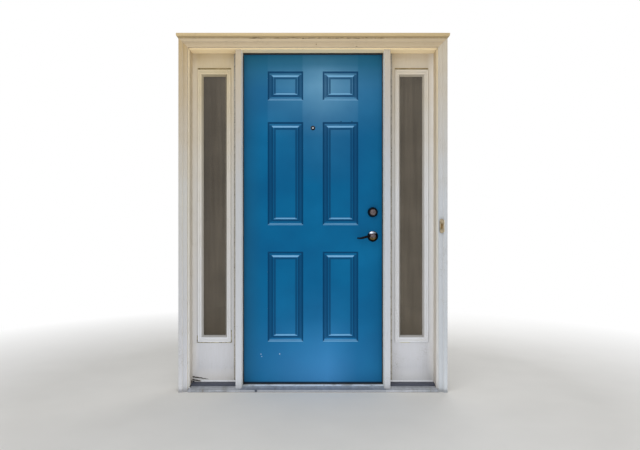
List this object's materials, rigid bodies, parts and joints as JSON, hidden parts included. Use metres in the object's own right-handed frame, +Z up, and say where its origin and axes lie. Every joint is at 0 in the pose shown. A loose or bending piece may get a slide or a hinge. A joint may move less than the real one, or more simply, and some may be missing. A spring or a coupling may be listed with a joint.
{
  "type": "panelled entry door with sidelights",
  "caption": "Embossed panel entry door hung in a rabbeted frame with a glazed sidelight on each side, moulded casing, head cap, sill, lever latch and deadbolt.",
  "frame": {"origin": "middle of the sill's underside, in the plane of the frame's outer edge where the casing's back lies", "axes": "+X along the wall to the right seen from outside, +Y into the house, +Z up"},
  "size_m": [1.6016, 0.2231, 2.1041],
  "materials": {
    "trim_paint": "cream oil paint on pine, cooler and dirtier towards the sill",
    "cap_paint": "cream paint on a moulded cap",
    "panel_paint": "cream paint on a smooth sidelight slab",
    "base_paint": "dark blue-grey paint",
    "bare_timber": "bare softwood",
    "threshold_composite": "pale composite",
    "sill_metal": "mill-finish aluminium, weathered",
    "lite_frame_plastic": "moulded frame, painted with the trim",
    "window_glass": "clear float glass before a dark room",
    "spacer_metal": "mill-finish spacer bar",
    "weatherstrip_foam": "foam strip in a dark vinyl jacket",
    "door_paint": "satin blue paint on embossed steel",
    "door_paint_inside": "white primer paint on embossed steel",
    "core_foam": "rigid polyurethane foam",
    "sweep_vinyl": "extruded vinyl",
    "viewer_metal": "satin plated brass",
    "viewer_glass": "ground lens",
    "bell_brass": "lacquered brass, tarnished",
    "bell_button": "amber push bar",
    "lock_steel": "zinc-plated steel",
    "hinge_steel": "plated steel",
    "hardware_bronze": "oil-rubbed bronze"
  },
  "bodies": {
    "frame": {"bottom_jamb_leaf": "hinge_steel", "deadbolt_strike": "lock_steel", "doorbell_plate": "bell_brass", "frame_screws": "hinge_steel", "glass_panes": "window_glass", "glass_spacers": "spacer_metal", "head_cap": "cap_paint", "head_casing": "trim_paint", "head_jamb": "trim_paint", "hinge_pins": "hinge_steel", "latch_strike": "lock_steel", "left_casing": "trim_paint", "left_jamb": "trim_paint", "left_light_base": "base_paint", "left_light_panel": "panel_paint", "left_lite_frame_inner": "lite_frame_plastic", "left_lite_frame_outer": "lite_frame_plastic", "left_mullion": "trim_paint", "middle_jamb_leaf": "hinge_steel", "right_casing": "trim_paint", "right_jamb": "trim_paint", "right_light_base": "base_paint", "right_light_panel": "panel_paint", "right_lite_frame_inner": "lite_frame_plastic", "right_lite_frame_outer": "lite_frame_plastic", "right_mullion": "trim_paint", "sill_core": "bare_timber", "sill_deck": "sill_metal", "threshold_cap": "threshold_composite", "top_jamb_leaf": "hinge_steel", "weatherstrip": "weatherstrip_foam"},
    "door": {"exterior_skin": "door_paint", "interior_skin": "door_paint_inside", "hinge_stile": "bare_timber", "lock_stile": "bare_timber", "top_rail": "bare_timber", "bottom_rail": "bare_timber", "lock_block": "bare_timber", "foam_core": "core_foam", "door_sweep": "sweep_vinyl", "top_door_leaf": "hinge_steel", "middle_door_leaf": "hinge_steel", "bottom_door_leaf": "hinge_steel", "door_screws": "hinge_steel", "viewer_barrel": "viewer_metal", "viewer_lens": "viewer_glass", "viewer_eyepiece": "viewer_metal", "deadbolt_rose_outer": "hardware_bronze", "deadbolt_rose_inner": "hardware_bronze", "deadbolt_case": "lock_steel", "lever_rose_outer": "hardware_bronze", "lever_rose_inner": "hardware_bronze", "latch_case": "lock_steel"},
    "lever": {"lever_outer": "hardware_bronze", "lever_inner": "hardware_bronze"},
    "deadbolt_turn": {"deadbolt_cylinder": "hardware_bronze", "thumbturn": "hardware_bronze"},
    "deadbolt_slide": {"deadbolt_bolt": "lock_steel"},
    "latch_slide": {"latch_bolt": "lock_steel"},
    "doorbell_push": {"doorbell_button": "bell_button"}
  },
  "joints": [
    {"name": "door_swing", "type": "hinge", "parent": "frame", "child": "door", "pos_m": [-0.4333, 0.14285, 1], "axis": [0, 0, 1], "range_deg": [0, 105]},
    {"name": "lever_turn", "type": "hinge", "parent": "door", "child": "lever", "pos_m": [0.36195, 0.11113, 0.912], "axis": [0, -1, 0], "range_deg": [0, 45], "stiffness_Nm_per_rad": 1, "springref_deg": -22.92},
    {"name": "thumb_turn", "type": "hinge", "parent": "door", "child": "deadbolt_turn", "pos_m": [0.36195, 0.11113, 1.058], "axis": [0, 1, 0], "range_deg": [0, 90]},
    {"name": "deadbolt_throw", "type": "slide", "parent": "door", "child": "deadbolt_slide", "axis": [1, 0, 0], "range_m": [0, 0.0254]},
    {"name": "latch_throw", "type": "slide", "parent": "door", "child": "latch_slide", "axis": [1, 0, 0], "range_m": [0, 0.0127]},
    {"name": "doorbell_press", "type": "slide", "parent": "frame", "child": "doorbell_push", "axis": [0, 1, 0], "range_m": [0, 0.0018], "stiffness_N_per_m": 400, "springref_m": -0.003}
  ],
  "couplings": [
    {"joint": "thumb_turn", "follows": "deadbolt_throw", "rad_per_m": 61.842}
  ]
}
